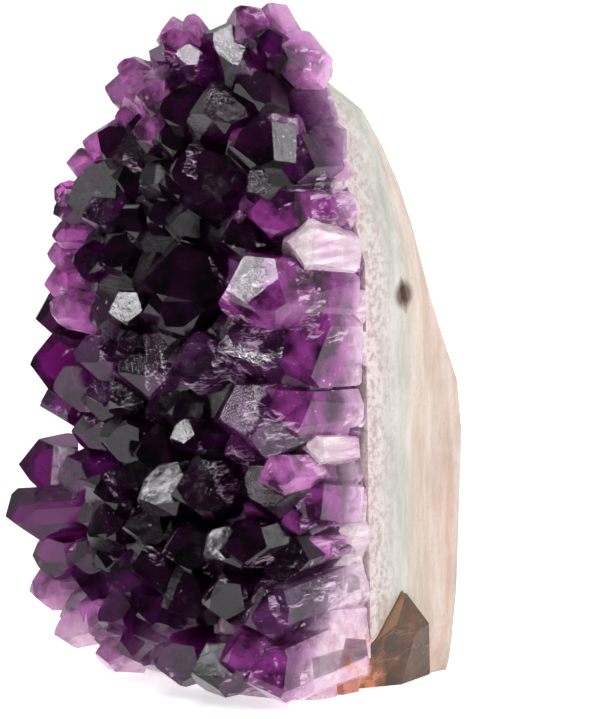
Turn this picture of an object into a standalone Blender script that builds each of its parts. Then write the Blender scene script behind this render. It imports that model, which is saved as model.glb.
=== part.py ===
"""An amethyst geode fragment that stands on its cut base.

Frame: metres, +Z up. +X is the ground side, +Y the rock wall's back, -Y the way the crystals grow. The origin is at
the middle of the object's box, on the floor.

Three pieces grown against each other: a rock wall, the amethyst crust on the wall's inner face, and a wedge of brown
basalt that is still stuck in the wall's lower corner.
"""

import math
import random
from typing import NamedTuple

import bmesh
import bpy
from mathutils import Matrix, Vector, noise

MM = 0.001

# Driving dimensions of the stone
HEIGHT = 112 * MM  # of the rock wall; the crystals at the top reach a little higher
SIDE_X = 29.5 * MM  # the ground right side
ROOTS_SIDE_X = 27 * MM  # the roots end short of it, behind the flanks of the crystals that grow there
SIDE_FACING = Vector((1, 0, 0.02)).normalized()
RIGHT_X = 32 * MM  # how far the stone would bulge to the right if its side weren't ground
LEFT_X = 29 * MM  # the broken left side
BACK_Y = 31 * MM  # the wall's thickness where it is thickest
ROOTS_Y = 16 * MM  # the depth of grown-together roots in front of the wall
CORNER = 4.5  # how square the plan is: 2 is an ellipse
LUMPS = 0.05  # share of the reach that the lumps add or take
BELOW_BASE = 1.4  # the lower half is made this much longer than the stone, so that its base is a clean cut
SHOULDERS = 4.2  # how full the stone is just below its top
RINGS = 17
SEGMENTS = 40
TOUCHING = 0.15 * MM  # half the gap between pieces that touch

# The lower left corner is broken away under the crystals.
UNDERCUT_AT = Vector((-14, -8, 0)) * MM
UNDERCUT_FACING = Vector((-0.72, -0.12, -0.68)).normalized()

# The foot of the ground side leans in a little, so the basalt's ridge is what sticks out.
FOOT_AT = Vector((29.5, 0, 10)) * MM
FOOT_FACING = Vector((0.93, 0, -0.37)).normalized()

# A small dark pit in the ground side
PIT_AT = Vector((28.6, 10.3, 67.8)) * MM
PIT_SIZE = Vector((1.5, 0.8, 3.8)) * MM
PIT_LEAN = math.radians(12)

# The basalt wedge: how far each chipped face is from its middle, in millimetres, and the way it faces.
BASALT_AT = Vector((24.9, 7, 4)) * MM
BASALT_FACETS = (
    (4, (0, 0, -1)),
    (6, (-1, 0.1, 0)),
    (8.8, (0.952, 0, 0.307)),
    (3.7, (0.85, -0.35, -0.4)),
    (5.2, (0.91, 0.2, -0.36)),
    (7.2, (0, -0.72, 0.69)),
    (8.6, (0, 0.814, 0.58)),
)

# Crystals
SEED = 11
MERGED = 0.001 * MM  # vertices of the finished crust this close are one
MOST_LONG = 5  # radii
SIDE_ROOTS_X = 15 * MM  # crystals further right than this show their whole flank, so they reach the wall
SIDE_ROOT_DEPTH = 1 * MM
ROOT_DEPTH = 9 * MM  # how far in front of the wall a crystal's root end lies

# Small unnamed crystals: their spacing and, in millimetres, their least and greatest radius
FILLER_STEP = 7.6 * MM
FILLER_RADIUS = (3.4, 4.6)
FILLER_RISE = (4, 7)  # how far the tips stand out of the roots, in millimetres
RIM_MARGIN = 9 * MM  # none of the front ones stands this close to the ground side
SIDE_STEP = 13 * MM
SIDE_RADIUS = (4, 5.6)
SIDE_ROWS_Y = (-3.5 * MM, -10 * MM)
RIM_STEP = 5.5 * MM
RIM_RADIUS = (2.6, 3.6)
TOP_STEP = 5  # millimetres
TOP_RADIUS = (3.6, 4.4)

# The side on show is seen from here, and each crystal is placed as it is seen: across and up, in millimetres.
SHOWN_FROM = math.radians(40)
SHOWN_ABOVE = math.radians(8)
ACROSS = Vector((math.cos(SHOWN_FROM), math.sin(SHOWN_FROM), 0))
TOWARDS = Vector((
    math.sin(SHOWN_FROM) * math.cos(SHOWN_ABOVE),
    -math.cos(SHOWN_FROM) * math.cos(SHOWN_ABOVE),
    math.sin(SHOWN_ABOVE),
))
UPWARDS = TOWARDS.cross(ACROSS)

# Quartz: its six pyramid faces lean 38.2 degrees from the crystal's axis.
FACE_LEAN = math.radians(38.2)


class Crystal(NamedTuple):
    """One crystal of the crust. Lengths are in millimetres and angles in degrees."""

    name: str
    across: float  # where its tip shows from the display side
    up: float
    y: float  # how far in front of the wall the tip stands
    radius: float
    yaw: float = 0  # how far it leans to the left of straight out
    pitch: float = 0  # how far it leans up
    spin: float = 0
    blunt: float = 0.15  # how far the tip is cut back, in radii


CRYSTALS = (
    # Top
    Crystal("summit", 4.6, 117, -4, 5.2, 0, 66, 10, 0.5),
    Crystal("crown", -7.2, 111.5, -16, 6.6, 25, 38, 25, 0.35),
    Crystal("crown_back", -1, 115.5, -12, 4.6, 10, 55, 0, 0.4),
    Crystal("crown_knob", -9.3, 113.4, -14, 1.9, 20, 50, 40),
    Crystal("crown_right", 2.6, 109.5, -12, 3.4, 5, 30, 15),
    Crystal("rose_ridge", 7.2, 108, -9, 4.6, -8, 28, 50, 0.3),
    Crystal("rose_side", 11.6, 107, -3, 3.7, -12, 40, 20, 0.4),
    Crystal("shoulder_a", -13.6, 111, -14, 3.4, 35, 40, 0),
    Crystal("shoulder_b", -15.8, 107.6, -14, 3.2, 40, 32, 30),
    Crystal("shoulder_c", -11.2, 107, -18, 3.0, 25, 25, 12),
    Crystal("horn_top", -21.6, 105.6, -13, 2.8, 45, 28, 20),
    Crystal("horn", -24.8, 101.8, -15, 5.0, 42, 10, 5, 0.5),
    Crystal("horn_low", -21.8, 96.6, -16, 2.8, 35, 12, 40),
    Crystal("glass_tip", -19.4, 93.6, -18, 3.4, 30, 5, 18, 0.3),
    Crystal("lilac_tip", -28, 92.6, -16, 4.2, 42, 8, 0, 0.25),
    Crystal("lilac_knob", -31, 89.6, -16, 2.6, 50, 15, 30, 0.4),
    # Upper middle
    Crystal("dusk", -8.6, 97.6, -20.5, 6.4, 10, 18, 35, 0.2),
    Crystal("dusk_left", -15.4, 98.4, -20, 5.0, 22, 14, 10, 0.3),
    Crystal("grey_pair", -1.4, 101.4, -16.5, 4.8, 5, 24, 28, 0.35),
    Crystal("violet_top", 6, 97.5, -9.5, 5.6, 2, 12, 22, 0.45),
    Crystal("violet_mid", 9, 91, -9, 5.0, -4, 4, 0, 0.4),
    Crystal("violet_low", 4, 86.6, -16, 6.0, 2, 2, 32, 0.4),
    Crystal("violet_edge", 2.4, 94.4, -13.5, 3.2, 12, 4, 10, 0.2),
    Crystal("lilac_face", 13.4, 87, -5, 4.6, -6, 4, 30, 0.5),
    Crystal("lilac_upper", 11.5, 97, -3.5, 3.6, -8, 12, 0, 0.4),
    Crystal("streaked", -2.4, 90.6, -20, 5.6, 14, 10, 20, 0.25),
    Crystal("glint", -13.4, 86.4, -23.5, 6.4, 22, 6, 12, 0.3),
    Crystal("glint_low", -10.6, 80.6, -22.5, 4.8, 12, -6, 15, 0.3),
    Crystal("left_shoulder", -31.2, 83.2, -19, 7.6, 38, 4, 12, 0.12),
    Crystal("left_ledge", -33.2, 80, -18, 3.4, 42, -4, 40, 0.2),
    Crystal("left_bead", -33.4, 84, -17, 2.6, 55, 10, 0, 0.4),
    Crystal("left_bead_b", -33.6, 76.6, -16, 2.6, 55, 4, 20, 0.4),
    Crystal("left_bead_c", -34.6, 72.6, -16, 2.8, 52, 0, 33, 0.4),
    Crystal("left_haze", -29.4, 74, -17, 5.6, 34, 2, 18, 0.45),
    Crystal("left_opal", -35.6, 67.6, -15, 3.8, 50, -2, 8, 0.5),
    # Middle
    Crystal("mauve", 1.2, 79.2, -20, 5.2, 6, 4, 6, 0.3),
    Crystal("mauve_small", 0.6, 83.2, -20, 3.4, 10, 0, 40, 0.3),
    Crystal("pepper", -3.2, 74.4, -22, 3.4, 10, 2, 20, 0.25),
    Crystal("spark", 9.5, 79.6, -12, 3.6, 0, 4, 12, 0.5),
    Crystal("spark_pale", 15, 79.6, -5, 3.3, -6, 6, 40, 0.5),
    Crystal("rim_upper", 17, 63.4, -5.6, 4.2, -10, 4, 20, 0.6),
    Crystal("rim_lower", 18, 56.4, -4.6, 3.8, -12, 0, 0, 0.6),
    Crystal("milk", 6.8, 74.6, -19.8, 4.6, -2, 13, 0, 0.95),
    Crystal("lamp", -3, 65.6, -29, 7.6, 4, 3, 26, 0.3),
    Crystal("plum", 4.5, 56, -21, 7.0, -1, 4, 24, 0.45),
    Crystal("giant", -17.6, 68.6, -28, 8.8, 12, 4, 4, 0.3),
    Crystal("giant_foot", -14.6, 59.6, -26, 4.6, 15, -14, 35, 0.3),
    Crystal("hazy", -6.2, 56, -27, 8.8, 4, 2, 38, 0.5),
    Crystal("hazy_side", -12.8, 52.6, -28, 5.0, 12, -4, 10, 0.4),
    Crystal("silver", -5.4, 45.2, -27, 6.0, 10, -2, 22, 0.4),
    Crystal("silver_foot", 1, 40, -25, 4.4, 2, -8, 0, 0.35),
    Crystal("rosette", -24.4, 53.8, -24, 7.4, 26, 6, 30, 0.5),
    Crystal("rosette_foot", -28.8, 47.4, -21, 5.4, 30, -4, 4, 0.3),
    Crystal("dark_arrow", -37, 61.8, -16, 5.4, 42, 0, 27, 0.2),
    Crystal("facet_left", -38.4, 54.4, -17, 6.4, 44, 2, 8, 0.35),
    Crystal("facet_left_low", -36.8, 46.6, -17, 5.8, 44, -6, 38, 0.5),
    Crystal("prism_upper", 4.2, 45, -22.7, 4.6, -2, 4, 28, 0.5),
    Crystal("prism_pale", 9.7, 39.8, -15.9, 3.1, -3, 6, 10, 0.9),
    Crystal("prism_long", 3.2, 35.2, -24.5, 3.5, -2, 6, 30, 0.5),
    Crystal("prism_dark", 8, 31, -17.9, 4.2, -2, 10, 0, 0.6),
    # Lower middle
    Crystal("ember_left", -19, 38.4, -25, 4.6, 18, 0, 12, 0.3),
    Crystal("slate_slim", -12, 41.4, -28, 2.8, 14, 2, 35, 0.2),
    Crystal("slate", -17.6, 31.2, -27, 4.8, 14, 0, 40, 0.2),
    Crystal("dew", -12.2, 31.4, -28, 5.6, 10, -2, 18, 0.4),
    Crystal("dew_right", -0.6, 31.6, -26, 5.0, 4, -4, 26, 0.35),
    Crystal("cave_a", -24, 40, -23, 4.4, 25, 0, 0),
    Crystal("cave_b", -25.6, 31.6, -22, 4.0, 25, 0, 20),
    Crystal("cave_c", -26.8, 24.8, -22, 3.6, 30, -4, 40),
    Crystal("cave_d", -20.4, 25.4, -25, 4.4, 18, -4, 10),
    Crystal("magenta_eye", 6.8, 27, -18.6, 2.8, 0, 0, 22, 0.4),
    Crystal("lilac_lip", 9, 21.5, -16.4, 3.3, -2, 0, 8, 0.5),
    Crystal("lilac_gem", 16, 23.5, -7.9, 3.6, -8, 0, 30, 0.6),
    Crystal("frost", 13, 17, -11.4, 4.2, -6, 0, 15, 0.7),
    Crystal("violet_knot", 8.5, 15, -16, 3.6, 2, 0, 42, 0.3),
    Crystal("mauve_slab", 8, 10, -17.9, 4.6, -3, 4, 2, 0.6),
    Crystal("night_a", -13.6, 21.6, -28, 5.4, 12, -4, 12, 0.25),
    Crystal("night_b", -7, 20.8, -28, 5.0, 8, -6, 44, 0.3),
    Crystal("night_c", -3, 22.4, -28, 4.4, 4, -4, 20, 0.2),
    Crystal("night_d", 3.8, 18.4, -22, 4.6, 2, -6, 33, 0.25),
    Crystal("night_e", -6.4, 12.6, -29, 5.0, 6, -10, 5, 0.3),
    Crystal("night_f", -14, 12.6, -28, 5.2, 14, -10, 28, 0.3),
    Crystal("lattice", 0.6, 10, -28, 5.2, 2, -8, 18, 0.3),
    # Lower left
    Crystal("berry", -41, 36.2, -17, 5.6, 48, 4, 15, 0.6),
    Crystal("berry_tip", -43.4, 27.2, -20, 5.8, 50, -4, 38, 0.4),
    Crystal("berry_foot", -38.6, 20, -18, 5.2, 46, -8, 5, 0.5),
    Crystal("curtain", -31.4, 18.4, -19, 6.8, 34, 14, 22, 0.35),
    Crystal("curtain_fold", -24.8, 16.6, -22, 5.6, 26, 6, 42, 0.4),
    Crystal("curtain_hem", -34, 9.2, -17, 5.4, 34, -6, 10, 0.5),
    Crystal("curtain_left", -38.6, 14.4, -16, 4.6, 44, 0, 30, 0.4),
    Crystal("hem_left", -33.8, 6.4, -17, 3.6, 40, -10, 20, 0.4),
    Crystal("hem_mid", -26.6, 5.4, -20, 4.0, 28, -10, 0, 0.4),
    Crystal("hem_right", -21.4, 8, -22, 5.4, 22, -6, 16, 0.4),
    Crystal("shadow_facet", -19, 18.4, -26, 4.4, 18, 0, 24, 0.25),
    # Foot
    Crystal("foot_left", -15.8, 1.8, -29, 4.8, 22, -10, 6, 0.3),
    Crystal("foot_mid", -8.6, 1.6, -31, 5.2, 8, -2, 24, 0.35),
    Crystal("foot_knee", -3.2, 3.4, -31, 4.0, 2, -4, 12, 0.4),
    Crystal("foot_front", 0.4, -0.6, -29, 5.8, 2, -10, 20, 0.5),
    Crystal("foot_right", 6, 0.2, -21.6, 5.0, -2, -4, 0, 0.6),
    Crystal("foot_pale", 11, 3.6, -14.5, 5.0, -5, 0, 26, 0.7),
)


def seen(across, up):
    """A direction or an offset given as it is seen from the display side, in millimetres."""
    return (ACROSS * across + UPWARDS * up) * MM


def tip_of(crystal):
    """Slides the point where the tip is seen along the line of sight, to the crystal's own depth."""
    point = seen(crystal.across, crystal.up)
    return point + TOWARDS * ((crystal.y * MM - point.y) / TOWARDS.y)


def growth_axis(yaw, pitch):
    """The way a crystal points: out of the wall along -Y, turned to the left by yaw and up by pitch."""
    yaw, pitch = math.radians(yaw), math.radians(pitch)
    return Vector((-math.sin(yaw) * math.cos(pitch), -math.cos(yaw) * math.cos(pitch), math.sin(pitch)))


def cut_away(shape, point, normal):
    """Takes off what lies past a plane and closes the cut with one flat face."""
    everything = shape.verts[:] + shape.edges[:] + shape.faces[:]
    cut = bmesh.ops.bisect_plane(
        shape, geom=everything, dist=1e-7, plane_co=point, plane_no=normal, clear_outer=True
    )
    rim = [part for part in cut["geom_cut"] if isinstance(part, bmesh.types.BMEdge)]
    if rim:
        bmesh.ops.edgeloop_fill(shape, edges=rim)


def finished(shape, name, collection, material=None):
    """Makes an object of a bmesh and links it."""
    bmesh.ops.recalc_face_normals(shape, faces=shape.faces)
    mesh = bpy.data.meshes.new(name)
    shape.to_mesh(mesh)
    shape.free()
    made = bpy.data.objects.new(name, mesh)
    collection.objects.link(made)
    if material:
        mesh.materials.append(material)
    return made


def helper(made):
    """Marks a cutter or another shape that isn't a piece of the object."""
    made.hide_render = True
    made.display_type = "WIRE"
    return made


def grow_crystal(shape, tip, axis, radius, length, spin, blunt, rng):
    """Adds one quartz crystal to a bmesh: a block trimmed to six uneven sides and a six-faced point."""
    gem = bmesh.new()
    bmesh.ops.create_cube(gem, size=1)
    bmesh.ops.scale(gem, vec=(4 * radius, 4 * radius, length), verts=gem.verts)
    bmesh.ops.translate(gem, vec=(0, 0, -length / 2), verts=gem.verts)
    for side in range(6):
        turn = math.radians(60 * side) + spin
        outwards = Vector((math.cos(turn), math.sin(turn), 0))
        cut_away(gem, outwards * radius * rng.uniform(0.76, 1.08), outwards)
        # Every other pyramid face is a small one, set back from the tip.
        set_back = rng.uniform(0.18, 0.42) if side % 2 else rng.uniform(-0.06, 0.06)
        slope = outwards * math.cos(FACE_LEAN) + Vector((0, 0, math.sin(FACE_LEAN)))
        cut_away(gem, slope * radius * (set_back - blunt * 0.4), slope)
    gem.transform(Matrix.Translation(tip) @ axis.to_track_quat("Z", "Y").to_matrix().to_4x4())
    mesh = bpy.data.meshes.new("gem")
    gem.to_mesh(mesh)
    gem.free()
    shape.from_mesh(mesh)
    bpy.data.meshes.remove(mesh)


def stone_reach(z):
    """How far the stone reaches left, right and back at a height: it narrows above the middle and at the foot."""
    above = max(0.0, min(1.0, (z - 45 * MM) / (HEIGHT - 38 * MM)))
    sloped = max(0.0, min(1.0, (z - 50 * MM) / (HEIGHT - 46 * MM)))
    foot = 1 - 0.05 * max(0.0, 1 - z / (28 * MM)) ** 1.5
    left = LEFT_X * math.sqrt(1 - above**2) * foot
    right = RIGHT_X * math.sqrt(1 - (0.98 * above) ** 1.5) * foot
    back = BACK_Y * (1 - sloped) ** 0.6 * foot
    return left, right, back


def front_reach(x, z):
    """How far the grown-together roots reach in front of the wall: least at the top and at the ground side."""
    rise = max(0.0, min(1.0, (z - 60 * MM) / (HEIGHT - 60 * MM)))
    rim = 0.6 if x > 0 else 0.3
    return ROOTS_Y * math.sqrt(1 - 0.85 * rise**2) * (1 - rim * abs(x) ** 4)


def stone_layer(name, collection, kept_side, side_x, material):
    """The part of the stone behind the rim plane (kept_side 1) or in front of it (-1), cut flat at the base."""
    shape = bmesh.new()
    bmesh.ops.create_uvsphere(shape, u_segments=SEGMENTS, v_segments=RINGS, radius=1)
    for vert in shape.verts:
        longer = 1 if vert.co.z > 0 else BELOW_BASE
        height = HEIGHT * (0.5 + 0.5 * longer * math.asin(vert.co.z) / math.asin(1))
        turn = math.atan2(vert.co.y, vert.co.x)
        flat = min(1.0, SHOULDERS * math.hypot(vert.co.x, vert.co.y))
        x, y = math.cos(turn), math.sin(turn)
        # A superellipse gives the plan its square shoulders.
        size = flat * (abs(x) ** CORNER + abs(y) ** CORNER) ** (-1 / CORNER)
        lump = noise.noise(Vector((1.4 * x, 1.4 * y, height / (26 * MM))))
        size *= 1 + LUMPS * lump
        left, right, back = stone_reach(height)
        front = front_reach(x, height)
        vert.co = (x * size * (right if x > 0 else left), y * size * (back if y > 0 else front), height)
    cut_away(shape, Vector((0, 0, 0)), Vector((0, 0, -1)))
    cut_away(shape, Vector((0, kept_side * TOUCHING, 0)), Vector((0, -kept_side, 0)))
    cut_away(shape, Vector((side_x, 0, 0)), SIDE_FACING)
    cut_away(shape, UNDERCUT_AT, UNDERCUT_FACING)
    cut_away(shape, FOOT_AT, FOOT_FACING)
    return finished(shape, name, collection, material)


def basalt_wedge(name, collection, grown, material=None):
    """The chipped stone in the lower right corner, or its pocket's shape when it is grown by the gap."""
    shape = bmesh.new()
    bmesh.ops.create_cube(shape, size=60 * MM, matrix=Matrix.Translation(BASALT_AT))
    for offset, facing in BASALT_FACETS:
        facing = Vector(facing).normalized()
        cut_away(shape, BASALT_AT + facing * (offset * MM + grown), facing)
    return finished(shape, name, collection, material)


def pit_cutter(collection):
    """A long narrow egg, half sunk in the ground side."""
    shape = bmesh.new()
    bmesh.ops.create_icosphere(shape, subdivisions=2, radius=1)
    bmesh.ops.scale(shape, vec=PIT_SIZE, verts=shape.verts)
    shape.transform(Matrix.Translation(PIT_AT) @ Matrix.Rotation(PIT_LEAN, 4, "X"))
    return helper(finished(shape, "pit_cutter", collection))


def boolean(made, operation, other):
    """Joins or cuts with one object, or with every object of a collection."""
    modifier = made.modifiers.new(operation.lower(), "BOOLEAN")
    modifier.operation = operation
    modifier.solver = "EXACT"
    if isinstance(other, bpy.types.Collection):
        modifier.operand_type = "COLLECTION"
        modifier.collection = other
    else:
        modifier.object = other


def crystal_object(crystal, number, collection):
    """One crystal that reaches from its tip back into the roots."""
    tip = tip_of(crystal)
    axis = growth_axis(crystal.yaw, crystal.pitch)
    radius = crystal.radius * MM
    root_end = SIDE_ROOT_DEPTH if tip.x > SIDE_ROOTS_X else ROOT_DEPTH
    to_roots = (-tip.y - root_end) / max(0.2, -axis.y)
    length = max(2.2 * radius, min(to_roots, MOST_LONG * radius))
    shape = bmesh.new()
    spin = math.radians(crystal.spin)
    grow_crystal(shape, tip, axis, radius, length, spin, crystal.blunt, random.Random(number))
    return helper(finished(shape, f"crystal_{crystal.name}", collection))


def filler_crystals():
    """Small crystals on a jittered grid that cover the roots where no named crystal stands."""
    rng = random.Random(SEED)
    fillers = []
    for row in range(int(HEIGHT / FILLER_STEP)):
        z = (row + 0.5) * FILLER_STEP
        left, right, _ = stone_reach(z)
        for column in range(-5, 6):
            x = (column + 0.5 + 0.5 * (row % 2) + rng.uniform(-0.2, 0.2)) * FILLER_STEP
            if not -left < x < min(right, SIDE_X) - RIM_MARGIN:
                continue
            aside = max(0.0, -x / left)
            y = -front_reach(x / RIGHT_X, z) - rng.uniform(*FILLER_RISE) * MM
            pitch = 55 * max(0.0, (z - 85 * MM) / (HEIGHT - 85 * MM)) + rng.uniform(-12, 12)
            place = Vector((x, y, z + rng.uniform(-1.5, 1.5) * MM))
            fillers.append((place, 60 * aside**2 + rng.uniform(-14, 14), pitch, rng.uniform(*FILLER_RADIUS) * MM))
    for row in range(int(HEIGHT / SIDE_STEP)):
        z = (row + 0.7) * SIDE_STEP
        left, _, _ = stone_reach(z)
        for y in SIDE_ROWS_Y:
            place = Vector((-left - rng.uniform(0.5, 2) * MM, y, z + rng.uniform(-3, 3) * MM))
            fillers.append((place, rng.uniform(50, 85), rng.uniform(-20, 30), rng.uniform(*SIDE_RADIUS) * MM))
    for row in range(int(HEIGHT / RIM_STEP)):
        z = (row + 0.5) * RIM_STEP
        _, right, _ = stone_reach(z)
        x = min(right, ROOTS_SIDE_X) + rng.uniform(-1, 1) * MM
        place = Vector((x, rng.uniform(-6, -4) * MM, z + rng.uniform(-1, 1) * MM))
        fillers.append((place, rng.uniform(-50, -20), rng.uniform(-10, 20), rng.uniform(*RIM_RADIUS) * MM))
    for x in range(-11, 14, TOP_STEP):
        place = Vector((x * MM, rng.uniform(-9, -4) * MM, HEIGHT + rng.uniform(1, 3) * MM))
        fillers.append((place, rng.uniform(-10, 20), rng.uniform(55, 75), rng.uniform(*TOP_RADIUS) * MM))
    return fillers


def grow_fillers(collection):
    """Makes each small crystal, lifted out of the undercut where it would hang below it."""
    for number, (place, yaw, pitch, radius) in enumerate(filler_crystals()):
        below = (place - UNDERCUT_AT).dot(UNDERCUT_FACING)
        if below > 0:
            place = place - UNDERCUT_FACING * below
        rng = random.Random(SEED + number)
        shape = bmesh.new()
        axis = growth_axis(yaw, pitch)
        grow_crystal(shape, place, axis, radius, 3 * radius, rng.uniform(0, 1), rng.uniform(0.1, 0.5), rng)
        helper(finished(shape, f"filler_{number}", collection))


def connected(vert):
    """The vertices that edges join to this one, itself included."""
    found = {vert}
    edge = [vert]
    while edge:
        for link in edge.pop().link_edges:
            for other in link.verts:
                if other not in found:
                    found.add(other)
                    edge.append(other)
    return found


def settle(made):
    """Applies the Booleans, and fills the little sealed pockets that are left between crystals."""
    graph = bpy.context.evaluated_depsgraph_get()
    shape = bmesh.new()
    shape.from_mesh(made.evaluated_get(graph).to_mesh())
    bmesh.ops.remove_doubles(shape, verts=shape.verts, dist=MERGED)
    bodies = []
    left = set(shape.verts)
    while left:
        body = connected(next(iter(left)))
        left -= body
        bodies.append(body)
    bodies.sort(key=len)
    for pocket in bodies[:-1]:
        bmesh.ops.delete(shape, geom=list(pocket), context="VERTS")
    made.modifiers.clear()
    shape.to_mesh(made.data)
    shape.free()


def plain(name, colour, roughness):
    """A material with one colour."""
    material = bpy.data.materials.new(name)
    material.use_nodes = True
    shader = material.node_tree.nodes["Principled BSDF"]
    shader.inputs["Base Color"].default_value = (*colour, 1)
    shader.inputs["Roughness"].default_value = roughness
    return material


def new_collection(name, parent):
    made = bpy.data.collections.new(name)
    parent.children.link(made)
    return made


def move_to_origin(pieces, others):
    """Slides everything so that the middle of the object's box, at the floor, is the origin."""
    bpy.context.view_layer.update()
    graph = bpy.context.evaluated_depsgraph_get()
    corners = [Vector(corner) for piece in pieces for corner in piece.evaluated_get(graph).bound_box]
    middle = [(min(c[i] for c in corners) + max(c[i] for c in corners)) / 2 for i in range(2)]
    shift = Matrix.Translation((-middle[0], -middle[1], 0))
    for made in pieces + others:
        made.data.transform(shift)


def main():
    for old in list(bpy.data.objects):
        bpy.data.objects.remove(old, do_unlink=True)
    geode = new_collection("amethyst_geode", bpy.context.scene.collection)
    cutters = new_collection("cutters", bpy.context.scene.collection)
    cutters.hide_render = True
    crystals = new_collection("crystals", cutters)

    wall = stone_layer("rock_wall", geode, 1, SIDE_X, plain("wall_rind", (0.62, 0.56, 0.48), 0.85))
    crust = stone_layer("amethyst_crust", geode, -1, ROOTS_SIDE_X, plain("amethyst", (0.2, 0.07, 0.27), 0.15))
    basalt = basalt_wedge("basalt_inclusion", geode, 0, plain("basalt", (0.2, 0.11, 0.07), 0.8))

    for number, crystal in enumerate(CRYSTALS):
        crystal_object(crystal, number, crystals)
    grow_fillers(crystals)
    boolean(crust, "UNION", crystals)

    pocket = helper(basalt_wedge("basalt_pocket", cutters, 2 * TOUCHING))
    room = bmesh.new()
    bmesh.ops.create_cube(room, size=400 * MM, matrix=Matrix.Translation((0, 0, 200 * MM)))
    cut_away(room, Vector((0, -TOUCHING, 0)), Vector((0, 1, 0)))
    cut_away(room, Vector((SIDE_X, 0, 0)), SIDE_FACING)
    room = helper(finished(room, "crust_room", cutters))
    boolean(crust, "INTERSECT", room)
    boolean(crust, "DIFFERENCE", pocket)
    boolean(wall, "DIFFERENCE", pocket)
    pit = pit_cutter(cutters)
    boolean(wall, "DIFFERENCE", pit)
    bpy.context.view_layer.update()
    settle(crust)
    move_to_origin([wall, crust, basalt], [room, pocket, pit, *crystals.objects])


main()
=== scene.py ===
"""The looks of the amethyst geode fragment: clear violet crystals on pale roots, a banded rock wall and
a basalt wedge. Metres, in the frame of the solids."""

import math
import random
from typing import NamedTuple

import bmesh
import bpy
from mathutils import Matrix, Vector, noise


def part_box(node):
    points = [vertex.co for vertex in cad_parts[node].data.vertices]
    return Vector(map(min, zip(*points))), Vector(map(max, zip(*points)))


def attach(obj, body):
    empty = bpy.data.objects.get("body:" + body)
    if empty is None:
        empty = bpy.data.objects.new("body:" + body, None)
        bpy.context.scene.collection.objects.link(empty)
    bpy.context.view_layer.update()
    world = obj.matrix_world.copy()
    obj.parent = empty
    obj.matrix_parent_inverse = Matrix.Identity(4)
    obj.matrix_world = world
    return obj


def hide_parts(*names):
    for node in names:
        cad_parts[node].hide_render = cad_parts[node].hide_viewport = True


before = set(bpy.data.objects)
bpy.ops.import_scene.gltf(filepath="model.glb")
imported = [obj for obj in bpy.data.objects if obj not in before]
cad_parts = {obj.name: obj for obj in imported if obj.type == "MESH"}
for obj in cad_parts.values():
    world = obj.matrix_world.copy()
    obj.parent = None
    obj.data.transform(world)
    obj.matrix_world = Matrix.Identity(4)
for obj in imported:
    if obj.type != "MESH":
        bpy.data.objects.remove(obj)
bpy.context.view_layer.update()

MM = 0.001

# Crystals are placed in the stone's own frame, whose X and Y differ from the solids' by a shift.
WALL_FRONT_Y = 0.15 * MM  # the rim plane of the wall, in the stone's own frame
WALL_SIDE_X = 29.31 * MM  # the wall's furthest reach to the right, in the stone's own frame
WALL_LOW, WALL_HIGH = (Vector(corner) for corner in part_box("rock_wall"))
SHIFT = Vector((WALL_HIGH.x - WALL_SIDE_X, WALL_LOW.y - WALL_FRONT_Y, 0))

# The side on show: from here, and this much above the floor. Across and up are its picture axes.
SHOWN_FROM = math.radians(40)
SHOWN_ABOVE = math.radians(8)
ACROSS = Vector((math.cos(SHOWN_FROM), math.sin(SHOWN_FROM), 0))
TOWARDS = Vector((
    math.sin(SHOWN_FROM) * math.cos(SHOWN_ABOVE),
    -math.cos(SHOWN_FROM) * math.cos(SHOWN_ABOVE),
    math.sin(SHOWN_ABOVE),
))
UPWARDS = TOWARDS.cross(ACROSS)

# Camera
AIM_ACROSS = 10.46  # the picture's middle, in millimetres as seen
AIM_UP = 54.6
FRAME_HEIGHT = 125.3 * MM  # what the picture's height takes in at the object
CAMERA_AWAY = 1.2

# The stone, in its own frame
HEIGHT = 112 * MM
SIDE_X = 29.5 * MM
SIDE_FACING = Vector((1, 0, 0.02))
ROOTS_SIDE_X = 27 * MM
RIGHT_X = 32 * MM
LEFT_X = 29 * MM
NARROWS_FROM = 45 * MM  # above this height the stone gets narrower
NARROWING = HEIGHT - 38 * MM
FOOT_HEIGHT = 28 * MM  # below this height it gets a little narrower too
FOOT_NARROWER = 0.05
ROOTS_Y = 16 * MM
THINS_FROM = 60 * MM  # above this height the roots get thinner
TOP_THINNER = 0.85
RIM_THINNER = (0.3, 0.6)  # left and right
CORNER = 4.5  # how square the plan is: 2 is an ellipse
LUMPS = 0.05
LUMP_SIZE = 26 * MM
BELOW_BASE = 1.4  # the lower half is made this much longer than the stone, so that its base is a clean cut
SHOULDERS = 4.2  # how full the stone is just below its top
RINGS = 17
SEGMENTS = 40
BASE_GAP = 0.02 * MM  # the crystals end this much above the floor
UNDERCUT_AT = Vector((-14, -8, 0)) * MM
UNDERCUT_FACING = Vector((-0.72, -0.12, -0.68)).normalized()

# The milky layer next to the wall, and the masses of clear root in front of it
PALE_ROOTS_Y = 7 * MM
PALE_ROOTS_BACK_Y = 0.15 * MM
PALE_ROOTS_WIDE = 0.99
MASS_BACK_Y = 6 * MM
MASS_WIDE = 0.995
# The roots that each group grew from, as points in millimetres and the way that the edge faces there.
# The masses of the dark middle and of the crystals that catch the light carry their group's painted shade
# and painted light.
MASS_EDGES = {
    "painted_shade": (
        ((11, 0, 0), (1, 0, 0)),
        ((-20, 0, 0), (-1, 0, 0)),
        ((0, 0, 97), (0, 0, 1)),
        ((0, 0, 12), (0, 0, -1)),
    ),
    "violet": (((-19, 0, 0), (1, 0, 0)),),
    "painted_light": (((10, 0, 0), (-1, 0, 0)), ((0, 0, 97), (0, 0, 1)), ((0, 0, 15), (0, 0, -1))),
    "milky": (((10, 0, 0), (-1, 0, 0)), ((0, 0, 16), (0, 0, 1))),
    "lilac": (((-18, 0, 0), (-1, 0, 0)), ((0, 0, 96), (0, 0, -1))),
}

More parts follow.
